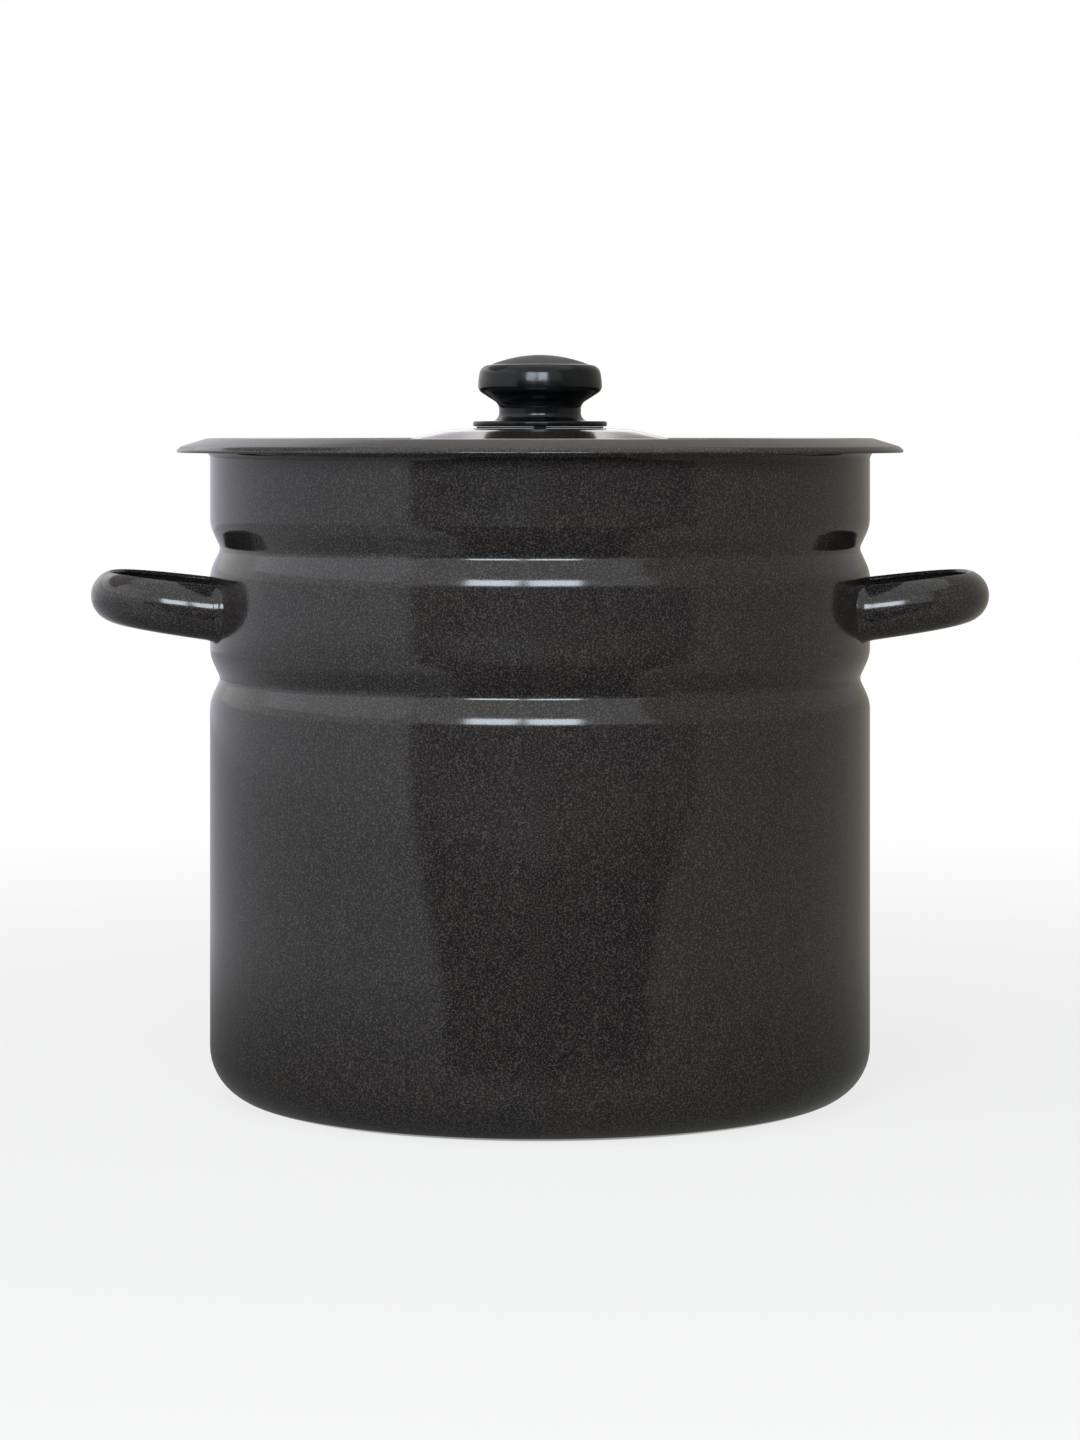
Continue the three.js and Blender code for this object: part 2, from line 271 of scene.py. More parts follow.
LOOP_END = WALL_RADIUS + HANDLE_REACH - END_STRAP_RADIUS
LOOP_ROOT = WALL_RADIUS - ROOT_BURIED
LOOP_CURVE = [
    Vector((LOOP_ROOT, -ROOT_HALF_WIDTH, ROOT_HEIGHT)),
    Vector((LOOP_ROOT + (LOOP_END - LOOP_ROOT) * LOOP_SQUARENESS, -GRIP_HALF_WIDTH, ROOT_HEIGHT)),
    Vector((LOOP_END, -GRIP_HALF_WIDTH * LOOP_SQUARENESS, ROOT_HEIGHT)),
    Vector((LOOP_END, 0, ROOT_HEIGHT)),
]


def on_curve(points, share):
    """The point of a Bezier curve at this share of it, found on lines between lines."""
    while len(points) > 1:
        points = [start.lerp(end, share) for start, end in zip(points, points[1:])]
    return points[0]


def heading(points, share):
    """The angle in plan at which the curve runs at this share of it."""
    slopes = [end - start for start, end in zip(points, points[1:])]
    direction = on_curve(slopes, share)
    return math.atan2(direction.y, direction.x)


print("loop reaches", HANDLE_REACH / MM, "mm from the wall")

# %% Sweeping the channel
ROOT_STRAP_RADIUS = 11.5 * MM
STRAP_ROLL = math.radians(28)
STRAP_SIDES = 48
LOOP_STEPS = 90
SEAM_GAP = 0.01 * MM

bpy.ops.object.select_all(action="DESELECT")
bpy.ops.mesh.primitive_circle_add(
    vertices=STRAP_SIDES, radius=ROOT_STRAP_RADIUS, rotation=(0, math.radians(90), 0))
right_loop = bpy.context.object
right_loop.name = "right_loop"
bpy.ops.object.transform_apply(rotation=True)
bpy.ops.object.mode_set(mode="EDIT")
bpy.ops.mesh.select_all(action="SELECT")
bpy.ops.mesh.bisect(
    plane_co=(0, 0, 0), plane_no=(0, math.cos(STRAP_ROLL), math.sin(STRAP_ROLL)), clear_outer=True)
bpy.ops.mesh.select_all(action="SELECT")
bpy.ops.transform.translate(value=LOOP_CURVE[0])
bpy.ops.transform.rotate(
    value=-heading(LOOP_CURVE, 0), orient_axis="Z", center_override=LOOP_CURVE[0])
step_shrink = (END_STRAP_RADIUS / ROOT_STRAP_RADIUS) ** (1 / LOOP_STEPS)
for step in range(LOOP_STEPS):
    place = on_curve(LOOP_CURVE, step / LOOP_STEPS)
    next_place = on_curve(LOOP_CURVE, (step + 1) / LOOP_STEPS)
    turn = heading(LOOP_CURVE, (step + 1) / LOOP_STEPS) - heading(LOOP_CURVE, step / LOOP_STEPS)
    bpy.ops.mesh.extrude_region_move(TRANSFORM_OT_translate={"value": next_place - place})
    bpy.ops.transform.rotate(value=-turn, orient_axis="Z", center_override=next_place)
    bpy.ops.transform.resize(value=(step_shrink,) * 3, center_override=next_place)
bpy.ops.object.mode_set(mode="OBJECT")
apply_modifier(right_loop, "MIRROR", use_axis=(False, True, False), merge_threshold=SEAM_GAP)
print("channel swept in", 2 * LOOP_STEPS, "steps,", len(right_loop.data.polygons), "faces")

# %% Tilting it, widening its feet and fitting it to the wall
HANDLE_TILT = math.radians(7.5)
HANDLE_SHEET = 1.5 * MM
ROOT_FLARE = 1 * MM
ROOT_FLARE_REACH = 4 * MM
WELD_DEPTH = 0.4 * MM


def cut_away(piece, cutter):
    """Cuts a helper shape out of a piece and removes the helper."""
    apply_modifier(piece, "BOOLEAN", operation="DIFFERENCE", object=cutter, solver="EXACT")
    bpy.data.objects.remove(cutter)


bpy.ops.object.mode_set(mode="EDIT")
bpy.ops.mesh.select_all(action="SELECT")
bpy.ops.transform.rotate(
    value=HANDLE_TILT, orient_axis="Y", center_override=(WALL_RADIUS, 0, ROOT_HEIGHT))
face_away(right_loop)
mesh = bmesh.from_edit_mesh(right_loop.data)
mesh.normal_update()
for vert in mesh.verts:
    gap = max(0, math.hypot(vert.co.x, vert.co.y) - WALL_RADIUS)
    if gap < ROOT_FLARE_REACH:
        vert.co += vert.normal * ROOT_FLARE * (1 - gap / ROOT_FLARE_REACH) ** 2
bmesh.update_edit_mesh(right_loop.data)
bpy.ops.object.mode_set(mode="OBJECT")
thicken(right_loop, HANDLE_SHEET)

bpy.ops.object.select_all(action="DESELECT")
bpy.ops.mesh.primitive_cylinder_add(
    vertices=SPIN_STEPS, radius=WALL_RADIUS - WELD_DEPTH, depth=2 * POT_HIGH.z)
cut_away(right_loop, bpy.context.object)
print("handle fitted to a wall of", WALL_RADIUS / MM, "mm radius")

# %% The second handle
bpy.ops.object.select_all(action="DESELECT")
right_loop.select_set(True)
bpy.context.view_layer.objects.active = right_loop
bpy.ops.object.duplicate()
left_loop = bpy.context.object
left_loop.name = "left_loop"
left_loop.rotation_euler.z = math.pi
bpy.ops.object.transform_apply(rotation=True)
finish_piece(right_loop, "pot", "right_handle")
finish_piece(left_loop, "pot", "left_handle")

# %% [markdown]
# ## Lid
# The lid is pressed from thinner sheet. From the middle outwards it has a flat seat for the knob, a
# low dome, a channel that drops into the pot and keeps the lid in its place, a crest and a flange that
# hangs over the rim. The line follows the top face and the sheet goes downwards from it. The flange is
# drawn a little wider than the solid's, as the photograph shows it.

# %% Lid
LID_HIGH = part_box("lid")[1]
LID_SHEET = 1.3 * MM
SCREW_HOLE = 2.9 * MM
KNOB_SEAT = 35 * MM
DOME_HEIGHT = 13.1 * MM
DOME_SLOPE = math.radians(14)
DOME_SHOULDER_BEND = 50 * MM
DOME_FOOT_BEND = 110 * MM
SEAT_TOP = LID_HIGH.z
CHANNEL_TOP = SEAT_TOP - DOME_HEIGHT
PLUG_FOOT = 124.7 * MM
PLUG_DRAFT = math.radians(8)
PLUG_BEND = 4 * MM
CREST_BEND = 5 * MM
FLANGE_SLOPE = math.radians(17)
FLANGE_EXTRA = 0.9 * MM
FLANGE_RADIUS = LID_HIGH.x + FLANGE_EXTRA
FLANGE_EDGE = 1.8 * MM
FLANGE_BEND = 2 * MM
RIM_GAP = 0.3 * MM


def flange_height(radius):
    """Height of the lid's top face where its underside rests on the rounded lip."""
    lip_centre = POT_HIGH.z - SHEET / 2
    stand = SHEET / 2 + RIM_GAP + LID_SHEET
    return lip_centre + stand / math.cos(FLANGE_SLOPE) - (radius - LIP_RADIUS) * math.tan(FLANGE_SLOPE)


plug_rise = (flange_height(PLUG_FOOT) - CHANNEL_TOP) / (
    1 + math.tan(PLUG_DRAFT) * math.tan(FLANGE_SLOPE))
bend_radius = FLANGE_RADIUS - FLANGE_EDGE
lid = draw_line("pressed_lid", [
    (SCREW_HOLE, SEAT_TOP),
    (KNOB_SEAT, SEAT_TOP, DOME_SHOULDER_BEND),
    (KNOB_SEAT + DOME_HEIGHT / math.tan(DOME_SLOPE), CHANNEL_TOP, DOME_FOOT_BEND),
    (PLUG_FOOT, CHANNEL_TOP, PLUG_BEND),
    (PLUG_FOOT + plug_rise * math.tan(PLUG_DRAFT), CHANNEL_TOP + plug_rise, CREST_BEND),
    (bend_radius, flange_height(bend_radius), FLANGE_BEND),
    (FLANGE_RADIUS, flange_height(bend_radius) - FLANGE_EDGE),
])
spin_line(lid)
bpy.ops.object.mode_set(mode="OBJECT")
thicken(lid, LID_SHEET)
finish_piece(lid, "lid", "lid")

# %% [markdown]
# ## Knob
# The knob is one moulding of black phenolic with a shallow cap, a barrel-shaped head, a waisted neck and
# a disc that keeps fingers off the hot lid. It is solid but for the pocket of its brass insert, so its
# line closes on the axis at both ends.

# %% Knob
KNOB_LOW, KNOB_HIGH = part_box("knob")
KNOB_FOOT = KNOB_LOW.z
KNOB_TOP = KNOB_HIGH.z
CAP_RADIUS = 19.5 * MM
CAP_RISE = 3.9 * MM
CAP_STEPS = 10
CAP_EDGE = KNOB_TOP - CAP_RISE
HEAD_RADIUS = 24.5 * MM
BARREL_HEIGHT = 6 * MM
BARREL_TAPER = 1.2 * MM
BARREL_BEND = 25 * MM
SHOULDER_BEND = 4.1 * MM
UNDERCUT_BEND = 2.9 * MM
NECK_BEND = 3.4 * MM
FOOT_BEND = 3.2 * MM
NECK_RADIUS = 16.2 * MM
NECK_TOP = KNOB_FOOT + 8.9 * MM
UNDERCUT_RISE = 5.3 * MM
DISC_RADIUS = 26.5 * MM
DISC_TOP = KNOB_FOOT + 2.1 * MM
DISC_BEND = 0.8 * MM
POCKET_RADIUS = 4.3 * MM
POCKET_TOP = KNOB_FOOT + 12.3 * MM
KNOB_STEPS = 128

cap_radii = [CAP_RADIUS * (1 - step / CAP_STEPS) for step in range(CAP_STEPS + 1)]
knob = draw_line("moulded_knob", [
    (0, POCKET_TOP),
    (POCKET_RADIUS, POCKET_TOP),
    (POCKET_RADIUS, KNOB_FOOT),
    (DISC_RADIUS, KNOB_FOOT, DISC_BEND),
    (DISC_RADIUS, DISC_TOP, DISC_BEND),
    (NECK_RADIUS, DISC_TOP, FOOT_BEND),
    (NECK_RADIUS, NECK_TOP, NECK_BEND),
    (HEAD_RADIUS, NECK_TOP + UNDERCUT_RISE, UNDERCUT_BEND),
    (HEAD_RADIUS, CAP_EDGE - BARREL_HEIGHT, BARREL_BEND),
    (HEAD_RADIUS - BARREL_TAPER, CAP_EDGE, SHOULDER_BEND),
    *[(radius, KNOB_TOP - CAP_RISE * (radius / CAP_RADIUS) ** 2) for radius in cap_radii],
])
spin_line(knob, KNOB_STEPS)
bpy.ops.object.mode_set(mode="OBJECT")
finish_piece(knob, "lid", "knob")

# %% [markdown]
# ## Fastening of the knob
# A slotted screw comes up through the lid into the insert, with a plain and a split washer under its
# head and a thin fibre gasket under the knob. Lifting the lid shows the head and the washers, so they
# get their rounded edges, the slot and the split. Each ring starts as the rectangle of its section.

# %% Gasket, insert and plain washer
FASTENER_STEPS = 64
WASHER_EDGE = 0.15 * MM
INSERT_EDGE = 0.3 * MM


def ring_section(name, inner_radius, outer_radius, bottom, top):
    """The rectangle that a flat ring shows where it is cut through, as one selected face."""
    section = draw_line(name, [
        (inner_radius, bottom), (outer_radius, bottom), (outer_radius, top), (inner_radius, top)])
    bpy.ops.mesh.select_all(action="SELECT")
    bpy.ops.mesh.edge_face_add()
    return section


def ring_from_node(name, node, edge):
    """A flat ring as large as its CAD node, with the screw's hole and rounded edges."""
    low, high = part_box(node)
    ring = ring_section(name, SCREW_HOLE, high.x, low.z, high.z)
    bpy.ops.mesh.delete(type="ONLY_FACE")
    spin_line(ring, FASTENER_STEPS)
    bpy.ops.object.mode_set(mode="OBJECT")
    round_edges(ring, edge)
    return ring


gasket = ring_from_node("fibre_gasket", "knob_gasket", WASHER_EDGE)
finish_piece(gasket, "lid", "knob_gasket")
insert = ring_from_node("brass_insert", "knob_insert", INSERT_EDGE)
finish_piece(insert, "lid", "knob_insert")
washer = ring_from_node("plain_washer", "flat_washer", WASHER_EDGE)
finish_piece(washer, "lid", "flat_washer")

# %% Split washer
# The split lies on the X axis, so the washer shows its full radius along Y.
SPRING_LOW, SPRING_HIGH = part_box("spring_washer")
SPRING_RADIUS = SPRING_HIGH.y
SPLIT_WIDTH = 1 * MM
split_angle = SPLIT_WIDTH / SPRING_RADIUS

spring = ring_section("split_washer", SCREW_HOLE, SPRING_RADIUS, SPRING_LOW.z, SPRING_HIGH.z)
bpy.ops.transform.rotate(value=-split_angle / 2, orient_axis="Z", center_override=(0, 0, 0))
bpy.ops.mesh.spin(
    steps=FASTENER_STEPS, angle=FULL_TURN - split_angle, center=(0, 0, 0), axis=(0, 0, 1))
bpy.ops.mesh.select_all(action="SELECT")
bpy.ops.mesh.normals_make_consistent(inside=False)
bpy.ops.object.mode_set(mode="OBJECT")
round_edges(spring, WASHER_EDGE)
finish_piece(spring, "lid", "spring_washer")

# %% Screw
SCREW_LOW, SCREW_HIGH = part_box("knob_screw")
SCREW_RADIUS = 2.5 * MM
SCREW_HEAD_HEIGHT = 3.2 * MM
SCREW_HEAD_TOP = SCREW_LOW.z + SCREW_HEAD_HEIGHT
SCREW_HEAD_BEND = 1.8 * MM
SLOT_WIDTH = 1.3 * MM
SLOT_DEPTH = 1.5 * MM

screw = draw_line("slotted_screw", [
    (0, SCREW_LOW.z),
    (SCREW_HIGH.x, SCREW_LOW.z, SCREW_HEAD_BEND),
    (SCREW_HIGH.x, SCREW_HEAD_TOP),
    (SCREW_RADIUS, SCREW_HEAD_TOP),
    (SCREW_RADIUS, SCREW_HIGH.z),
    (0, SCREW_HIGH.z),
])
spin_line(screw, FASTENER_STEPS)
bpy.ops.object.mode_set(mode="OBJECT")
bpy.ops.object.select_all(action="DESELECT")
bpy.ops.mesh.primitive_cube_add(
    location=(0, 0, SCREW_LOW.z), scale=(2 * SCREW_HIGH.x, SLOT_WIDTH / 2, SLOT_DEPTH))
cut_away(screw, bpy.context.object)
finish_piece(screw, "lid", "knob_screw")

# %% [markdown]
# ## Finishes
# All finishes are procedural, so they work at any distance. Shader maths is written as Python: a small
# class wraps an output socket, and an expression such as 1 - mask adds the Math node that it needs.

# %% Sockets in expressions


class Signal:
    """An output socket that takes part in Python's sums and products."""

    def __init__(self, finish, socket):
        self.finish = finish
        self.socket = socket

    def maths(self, operation, first, second):
        return self.finish.add("ShaderNodeMath", {"operation": operation}, {0: first, 1: second})

    def __add__(self, other):
        return self.maths("ADD", self, other)

    def __radd__(self, other):
        return self.maths("ADD", other, self)

    def __sub__(self, other):
        return self.maths("SUBTRACT", self, other)

    def __rsub__(self, other):
        return self.maths("SUBTRACT", other, self)

    def __mul__(self, other):
        return self.maths("MULTIPLY", self, other)

    def __rmul__(self, other):
        return self.maths("MULTIPLY", other, self)


class Finish:
    """The node tree of a material or a world."""

    def __init__(self, owner):
        owner.use_nodes = True
        self.tree = owner.node_tree
        self.tree.nodes.clear()

    def add(self, kind, settings=None, sockets=None, output=0):
        """Adds one node, sets its settings first and then its sockets, and returns one output."""
        node = self.tree.nodes.new(kind)
        for name, value in (settings or {}).items():
            setattr(node, name, value)
        for name, value in (sockets or {}).items():
            if isinstance(value, Signal):
                self.tree.links.new(value.socket, node.inputs[name])
            else:
                node.inputs[name].default_value = value
        return Signal(self, node.outputs[output]) if node.outputs else None

    def end(self, kind, shader):
        """Links a shader to the tree's output node."""
        self.add(kind, {}, {"Surface": shader})


# %% Colours and patterns


def linear(red, green, blue):
    """A colour written as it looks on screen, 0 to 255, made linear by the sRGB curve."""
    shares = [level / 255 for level in (red, green, blue)]
    return [s / 12.92 if s <= 0.04045 else ((s + 0.055) / 1.055) ** 2.4 for s in shares] + [1]


def mixed(finish, factor, first, second):
    """A colour between two colours, which a Mix node takes at its sockets 6 and 7 and gives at 2."""
    return finish.add(
        "ShaderNodeMix", {"data_type": "RGBA"}, {0: factor, 6: first, 7: second}, 2)


def noise(finish, place, size, detail=2):
    """Soft noise whose patches are about this wide, in metres."""
    return finish.add("ShaderNodeTexNoise", {}, {"Vector": place, "Scale": 1 / size, "Detail": detail})


def step_up(finish, value, low, high):
    """0 below low and 1 above high, with a smooth rise between them."""
    return finish.add(
        "ShaderNodeMapRange", {"interpolation_type": "SMOOTHSTEP"},
        {"Value": value, "From Min": low, "From Max": high})


def height_at(finish, place):
    """How high a place lies, in metres."""
    return finish.add("ShaderNodeSeparateXYZ", {}, {0: place}, 2)


def distance_at(finish, place):
    """How far a place lies from the origin, in metres."""
    return finish.add("ShaderNodeVectorMath", {"operation": "LENGTH"}, {0: place}, "Value")


# %% Starting and ending a material


def new_finish(name):
    """A new material, its node tree and the place on the piece that its patterns follow."""
    material = bpy.data.materials.new(name)
    finish = Finish(material)
    return material, finish, finish.add("ShaderNodeTexCoord", output="Object")


def surface(finish, colour, roughness, relief, depth, **others):
    """Ends a material with a relief of this depth in metres, and others of the shader's sockets."""
    waves = finish.add("ShaderNodeBump", {}, {"Strength": 1, "Distance": depth, "Height": relief})
    shader = finish.add("ShaderNodeBsdfPrincipled", {}, {
        "Base Color": colour, "Roughness": roughness, "Normal": waves, **others})
    finish.end("ShaderNodeOutputMaterial", shader)


def dress(material, *pieces):
    """Makes this the only material of these pieces."""
    for piece in pieces:
        piece.data.materials.clear()
        piece.data.materials.append(material)
    names = ", ".join(piece.name for piece in pieces)
    print(material.name, "with", len(material.node_tree.nodes), "nodes on", names)


# %% [markdown]
# ### Enamel
# Enamel is a thin layer of glass fused to the steel. It is nearly black-brown, mottled by the firing,
# with a very fine pepper of lighter grains, and its surface waves a little like orange peel, which
# bends reflections. Where the pot stands, years of use have dulled the gloss.

# %% Enamel
ENAMEL_DARK = linear(30, 27, 26)
ENAMEL_LIGHT = linear(35, 32, 30)
GRAIN_COLOUR = linear(78, 73, 69)
GRAIN_WEIGHT = 0.78
ENAMEL_IOR = 1.5
ENAMEL_ROUGHNESS = 0.1
MOTTLE_ROUGHNESS = 0.05
SCUFF_ROUGHNESS = 0.4
SCUFF_START = 0.1 * MM
SCUFF_END = 0.9 * MM
RIPPLE_SHARE = 0.15
PEEL_DEPTH = 0.02 * MM

enamel, finish, place = new_finish("dark_enamel")
mottle = noise(finish, place, size=9 * MM, detail=3)
grain = step_up(finish, noise(finish, place, size=0.65 * MM, detail=1), low=0.45, high=0.7)
colour = mixed(finish, step_up(finish, mottle, low=0.3, high=0.7), ENAMEL_DARK, ENAMEL_LIGHT)
colour = mixed(finish, grain * GRAIN_WEIGHT, colour, GRAIN_COLOUR)
scuffed = (1 - step_up(finish, height_at(finish, place), SCUFF_START, SCUFF_END)) * mottle
roughness = ENAMEL_ROUGHNESS + MOTTLE_ROUGHNESS * mottle + SCUFF_ROUGHNESS * scuffed
ripple = noise(finish, place, size=1.2 * MM, detail=1)
peel = noise(finish, place, size=7 * MM) + RIPPLE_SHARE * ripple
surface(finish, colour, roughness, relief=peel, depth=PEEL_DEPTH, IOR=ENAMEL_IOR)
dress(enamel, body, right_loop, left_loop, lid)

# %% [markdown]
# ### Phenolic, fibre, zinc and brass
# The knob's phenolic is black with a satin gloss from its mould and a few finer rubbed patches. Its
# cap is dull, and its grey colour is a painted sheen of the light from above. It mirrors less than a
# fresh moulding, so its index of refraction is set low. The gasket is pressed fibre. Screw and washers
# are zinc-plated steel and the insert is brass, both with fine turning lines that run round the axis.

# %% Phenolic
PHENOLIC_BLACK = linear(11, 13, 15)
PHENOLIC_WORN = linear(19, 21, 23)
# Painted sheen: the cap's grey stands in for light from above on its dull top.
CAP_SHEEN_GREY = linear(60, 60, 58)
CAP_BORDER = 0.1 * MM
PHENOLIC_IOR = 1.38
PHENOLIC_ROUGHNESS = 0.14
RUBBED_ROUGHNESS = 0.08
CAP_ROUGHNESS = 0.35
SKIN_DEPTH = 0.006 * MM

phenolic, finish, place = new_finish("black_phenolic")
rubbed = step_up(finish, noise(finish, place, size=6 * MM, detail=4), low=0.45, high=0.75)
cap = step_up(finish, height_at(finish, place), CAP_EDGE - CAP_BORDER, CAP_EDGE + CAP_BORDER)
colour = mixed(finish, rubbed, PHENOLIC_BLACK, PHENOLIC_WORN)
# The cap gets its grey of painted sheen; only its roughness is its real dull finish.
colour = mixed(finish, cap, colour, CAP_SHEEN_GREY)
roughness = PHENOLIC_ROUGHNESS + RUBBED_ROUGHNESS * rubbed + CAP_ROUGHNESS * cap
skin = noise(finish, place, size=1.5 * MM)
surface(finish, colour, roughness, relief=skin, depth=SKIN_DEPTH, IOR=PHENOLIC_IOR)
dress(phenolic, knob)

# %% Fibre
FIBRE_DARK = linear(18, 18, 18)
FIBRE_LIGHT = linear(34, 33, 32)
FIBRE_ROUGHNESS = 0.85
FELT_DEPTH = 0.05 * MM

fibre, finish, place = new_finish("pressed_fibre")
felt = noise(finish, place, size=0.5 * MM, detail=4)
colour = mixed(finish, felt, FIBRE_DARK, FIBRE_LIGHT)
surface(finish, colour, FIBRE_ROUGHNESS, relief=felt, depth=FELT_DEPTH)
dress(fibre, gasket)

# %% Turned metals
METAL_ROUGHNESS = 0.25
LINE_ROUGHNESS = 0.15
STAIN_ROUGHNESS = 0.1
LINE_DEPTH = 0.01 * MM


def turned_metal(name, dark, light):
    """A metal with fine lines round the Z axis, as a lathe leaves them."""
    metal, finish, place = new_finish(name)
    flat = finish.add("ShaderNodeVectorMath", {"operation": "MULTIPLY"}, {0: place, 1: (1, 1, 0)})
    across = finish.add("ShaderNodeCombineXYZ", {}, {
        "X": distance_at(finish, flat), "Z": height_at(finish, place)})
    lines = noise(finish, across, size=0.12 * MM, detail=3)
    stains = noise(finish, place, size=3 * MM, detail=3)
    colour = mixed(finish, stains, dark, light)
    roughness = METAL_ROUGHNESS + LINE_ROUGHNESS * lines + STAIN_ROUGHNESS * stains
    surface(finish, colour, roughness, relief=lines, depth=LINE_DEPTH, Metallic=1)
    return metal


zinc = turned_metal("zinc_plate", dark=linear(176, 179, 182), light=linear(203, 205, 206))
brass = turned_metal("turned_brass", dark=linear(176, 142, 74), light=linear(198, 166, 98))
dress(zinc, washer, spring, screw)
dress(brass, insert)

# %% [markdown]
# ## Floor and light
# The pot stands on a plain pale floor that fades into a white surround. Enamel is a dark mirror, so
# what it reflects matters more than what falls on it. Cards that only reflections see stand round the
# pot. A dark card in front and a dark fan on the floor give the deep middle tone. Dim warm cards on the
# right and brighter cool ones on the left give the sides their sheen, and a narrow bright one behind
# gives the pale dome beside the knob. A window of two panes in front makes the highlights. Highlights
# painted into the enamel would stay in place when the view turns, and these move as real ones do.

# %% Floor
FLOOR_REACH = 6
FLOOR_SIDES = 96
FADE_START = 0.2
FADE_END = 1.2
NEAR_WHITE = 0.8
FLOOR_GREY = (0.6, 0.6, 0.6, 1)
WHITE = (1, 1, 1, 1)


def seen_directly(finish):
    """1 for what the camera, a mirror or glass sees, and 0 for light that falls on something."""
    rays = finish.tree.nodes.new("ShaderNodeLightPath")
    by_camera = Signal(finish, rays.outputs["Is Camera Ray"])
    by_mirror = Signal(finish, rays.outputs["Is Glossy Ray"])
    by_glass = Signal(finish, rays.outputs["Is Transmission Ray"])
    return by_camera + by_mirror + by_glass


bpy.ops.object.select_all(action="DESELECT")
bpy.ops.mesh.primitive_circle_add(vertices=FLOOR_SIDES, radius=FLOOR_REACH, fill_type="NGON")
floor = bpy.context.object
floor.name = "floor"

pale, finish, place = new_finish("pale_floor")
away = step_up(finish, distance_at(finish, place), FADE_START, FADE_END)
whiteness = NEAR_WHITE + (1 - NEAR_WHITE) * away
matte = finish.add("ShaderNodeBsdfDiffuse", {}, {"Color": FLOOR_GREY})
white = finish.add("ShaderNodeEmission", {}, {"Color": WHITE, "Strength": 1})
shader = finish.add("ShaderNodeMixShader", {}, {0: whiteness * seen_directly(finish), 1: matte, 2: white})
finish.end("ShaderNodeOutputMaterial", shader)
dress(pale, floor)

# %% Surround
AMBIENT = 0.12

world = bpy.data.worlds.new("white_surround")
bpy.context.scene.world = world
finish = Finish(world)
strength = AMBIENT + (1 - AMBIENT) * seen_directly(finish)
backdrop = finish.add("ShaderNodeBackground", {}, {"Color": WHITE, "Strength": strength})
finish.end("ShaderNodeOutputWorld", backdrop)
bpy.context.scene.view_settings.view_transform = "Standard"
print("surround is white to the eye and lights the pot at", AMBIENT)

# %% Making reflection cards
# Angles are degrees round the pot: 0 is on its right, 90 behind it and -90 in front of it. A level is
# how brightly a card glows in red, green and blue, where 1 is white.
CARD_DISTANCE = 2.4
CARD_FLOOR = 2 * MM
CARD_STEPS = 48
DIM_START = 0.15
DIM_END = 0.6
OPAQUE = (1,)


def reflected_only(card, level, near_level=None):
    """Makes a stage object that only mirror-like surfaces see. Its glow may be dimmer near the pot."""
    material, finish, place = new_finish(card.name)
    colour = level + OPAQUE
    if near_level:
        away = step_up(finish, distance_at(finish, place), DIM_START, DIM_END)
        colour = mixed(finish, away, near_level + OPAQUE, colour)
    glow = finish.add("ShaderNodeEmission", {}, {"Color": colour, "Strength": 1})
    finish.end("ShaderNodeOutputMaterial", glow)
    dress(material, card)
    card.visible_camera = False
    card.visible_diffuse = False
    card.visible_shadow = False


def curved_card(name, corners, start, end, level, near_level=None):
    """Spins a line of corners (distance, height) into a card between two angles."""
    card = draw_line(name, corners)
    bpy.ops.mesh.select_all(action="SELECT")
    bpy.ops.transform.rotate(
        value=-math.radians(end), orient_axis="Z", center_override=(0, 0, 0))
    bpy.ops.mesh.spin(
        steps=CARD_STEPS, angle=math.radians(end - start), center=(0, 0, 0), axis=(0, 0, 1))
    bpy.ops.object.mode_set(mode="OBJECT")
    reflected_only(card, level, near_level)


def standing(bottom, top):
    """The line of a card that stands at the common distance."""
    return [(CARD_DISTANCE, bottom), (CARD_DISTANCE, top)]


# %% Low cards and the floor
FOOT_EDGE = 118 * MM
LOW_TOP = 0.45
FRONT_TOP = 0.7
FAN_LEFT = -133.5
FAN_RIGHT = -37
DIM_WARM = (0.36, 0.34, 0.29)

ground = [(FOOT_EDGE, CARD_FLOOR), (CARD_DISTANCE, CARD_FLOOR)]
curved_card(
    "left_floor_card", ground, start=90, end=270,
    level=(0.53, 0.53, 0.57), near_level=(0.16, 0.16, 0.16))
curved_card(
    "right_floor_card", ground, start=-90, end=90, level=DIM_WARM, near_level=(0.2, 0.2, 0.18))
curved_card(
    "front_card", standing(CARD_FLOOR, FRONT_TOP), start=FAN_LEFT, end=FAN_RIGHT,
    level=(0.15, 0.14, 0.14))
curved_card(
    "right_card", standing(CARD_FLOOR, LOW_TOP), start=FAN_RIGHT, end=90, level=DIM_WARM)
curved_card(
    "left_card", standing(CARD_FLOOR, LOW_TOP), start=90, end=360 + FAN_LEFT,
    level=(0.77, 0.76, 0.83))

# %% High cards and the glow behind
HIGH_TOP = 3
HIGH_LEFT_FOOT = 1
GLOW_RIGHT = 85.4
GLOW_LEFT = 94.6
GLOW_TOP = 1.45
LEAN_FOOT = 2.2
LEAN_HEAD = 1.6
LEAN_TOP = 2.6

curved_card(
    "high_right_card", standing(LOW_TOP, HIGH_TOP), start=-50, end=GLOW_RIGHT, level=(0.42, 0.4, 0.36))
curved_card(
    "high_left_card", standing(HIGH_LEFT_FOOT, HIGH_TOP), start=110, end=220, level=(1.4, 1.4, 1.5))
curved_card(
    "back_left_card", standing(LOW_TOP, HIGH_TOP), start=GLOW_LEFT, end=110, level=(0.7, 0.7, 0.74))
curved_card(
    "back_glow_card", standing(LOW_TOP, GLOW_TOP), start=GLOW_RIGHT, end=GLOW_LEFT,
    level=(1.6, 1.6, 1.6))
curved_card(
    "back_card", [(LEAN_FOOT, GLOW_TOP), (LEAN_HEAD, LEAN_TOP)], start=10, end=170,
    level=(0.42, 0.4, 0.39))

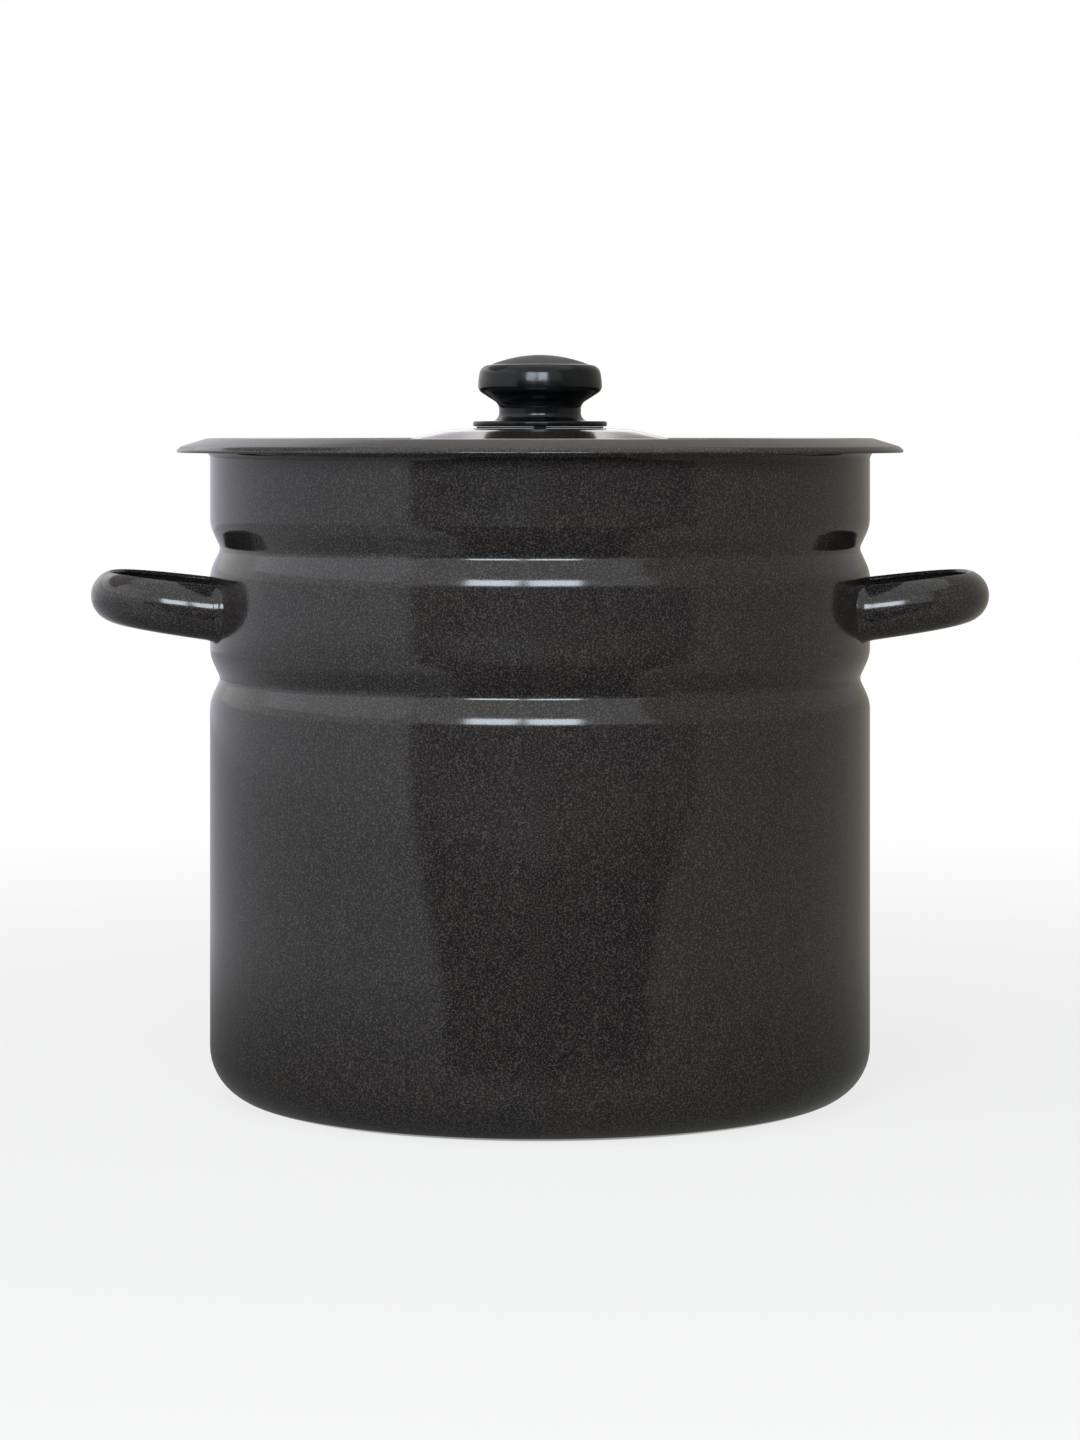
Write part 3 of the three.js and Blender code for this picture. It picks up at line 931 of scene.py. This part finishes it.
# %% Dark fan on the floor
FAN_HEIGHT = 2 * CARD_FLOOR
FAN_DISTANCES = (0.25, 0.53, 0.93, 1.56, CARD_DISTANCE)
FAN_LEFT_ANGLES = (-114, -119, -126, -130, FAN_LEFT)
FAN_RIGHT_ANGLES = (-62, -58, -51, -45, FAN_RIGHT)


def round_the_pot(distance, angle, height):
    """The place at this distance from the pot's axis, angle and height."""
    turn = math.radians(angle)
    return Vector((distance * math.cos(turn), distance * math.sin(turn), height))


left_edge = [round_the_pot(*spot, FAN_HEIGHT) for spot in zip(FAN_DISTANCES, FAN_LEFT_ANGLES)]
right_edge = [round_the_pot(*spot, FAN_HEIGHT) for spot in zip(FAN_DISTANCES, FAN_RIGHT_ANGLES)]
fan = start_piece("floor_fan_card")
extrude_through(left_edge + right_edge[::-1])
bpy.ops.mesh.select_all(action="SELECT")
bpy.ops.mesh.edge_face_add()
bpy.ops.object.mode_set(mode="OBJECT")
reflected_only(fan, level=(0.03, 0.027, 0.027))

# %% Lamps
POT_MIDDLE = Vector((0, 0, 0.15))
WINDOW_DISTANCE = 2.6
WINDOW_HEIGHT = 1.15
WINDOW_COLOUR = (0.8, 0.9, 1)
PANE_ANGLES = (-106.3, -85.1)


def soft_lamp(name, place, width, height, power, mirrored):
    """An area lamp at a place, aimed at the middle of the pot."""
    bpy.ops.object.light_add(type="AREA", location=place)
    lamp = bpy.context.object
    lamp.name = name
    lamp.data.shape = "RECTANGLE"
    lamp.data.size = width
    lamp.data.size_y = height
    lamp.data.energy = power
    lamp.rotation_euler = (POT_MIDDLE - Vector(place)).to_track_quat("-Z", "Y").to_euler()
    lamp.visible_camera = False
    lamp.visible_glossy = mirrored
    print(name, "of", power, "watts")
    return lamp


soft_lamp("ceiling_lamp", (-0.4, -0.8, 2.4), width=2, height=2, power=24, mirrored=False)
soft_lamp("left_lamp", (-2.2, -1.2, 1.2), width=1.5, height=1.5, power=8, mirrored=False)
for angle in PANE_ANGLES:
    spot = round_the_pot(WINDOW_DISTANCE, angle, WINDOW_HEIGHT)
    pane = soft_lamp("window_pane", spot, width=0.82, height=0.72, power=27, mirrored=True)
    pane.data.color = WINDOW_COLOUR
